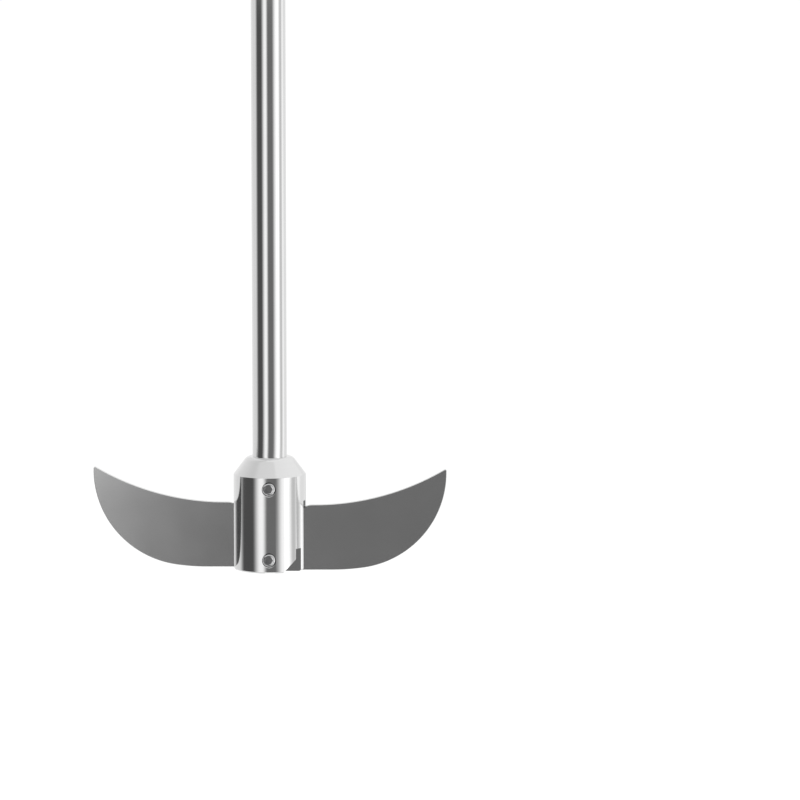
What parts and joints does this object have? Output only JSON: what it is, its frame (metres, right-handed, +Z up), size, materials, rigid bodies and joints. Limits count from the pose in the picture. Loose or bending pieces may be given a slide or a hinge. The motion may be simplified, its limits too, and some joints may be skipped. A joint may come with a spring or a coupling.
{
  "type": "folding mixing paddle",
  "caption": "Folding mixing paddle: a polished steel shaft in a slotted hub, with flat curved blades on pivot screws that hang folded and swing out as it spins.",
  "frame": {"origin": "centre of the hub's lower face, on the shaft's axis", "axes": "+Z up along the shaft, -Y to the front, +X to the blade whose slot lies towards the front; the blades are open at rest"},
  "size_m": [0.1026, 0.021, 0.35],
  "materials": {
    "polished_steel": "turned and polished stainless steel",
    "blade_steel": "smooth stainless sheet with broken edges",
    "screw_steel": "plain stainless socket screw"
  },
  "bodies": {
    "hub_and_shaft": {"shaft": "polished_steel", "hub": "polished_steel", "front_pivot_screw": "screw_steel", "rear_pivot_screw": "screw_steel", "front_set_screw": "screw_steel", "rear_set_screw": "screw_steel"},
    "front_blade": {"front_blade": "blade_steel"},
    "rear_blade": {"rear_blade": "blade_steel"}
  },
  "joints": [
    {"name": "front_blade_hinge", "type": "hinge", "parent": "hub_and_shaft", "child": "front_blade", "pos_m": [0, -0.0028, 0.0038], "axis": [0, 1, 0], "range_deg": [-6, 105]},
    {"name": "rear_blade_hinge", "type": "hinge", "parent": "hub_and_shaft", "child": "rear_blade", "pos_m": [0, 0.0028, 0.0038], "axis": [0, -1, 0], "range_deg": [-6, 105]}
  ]
}
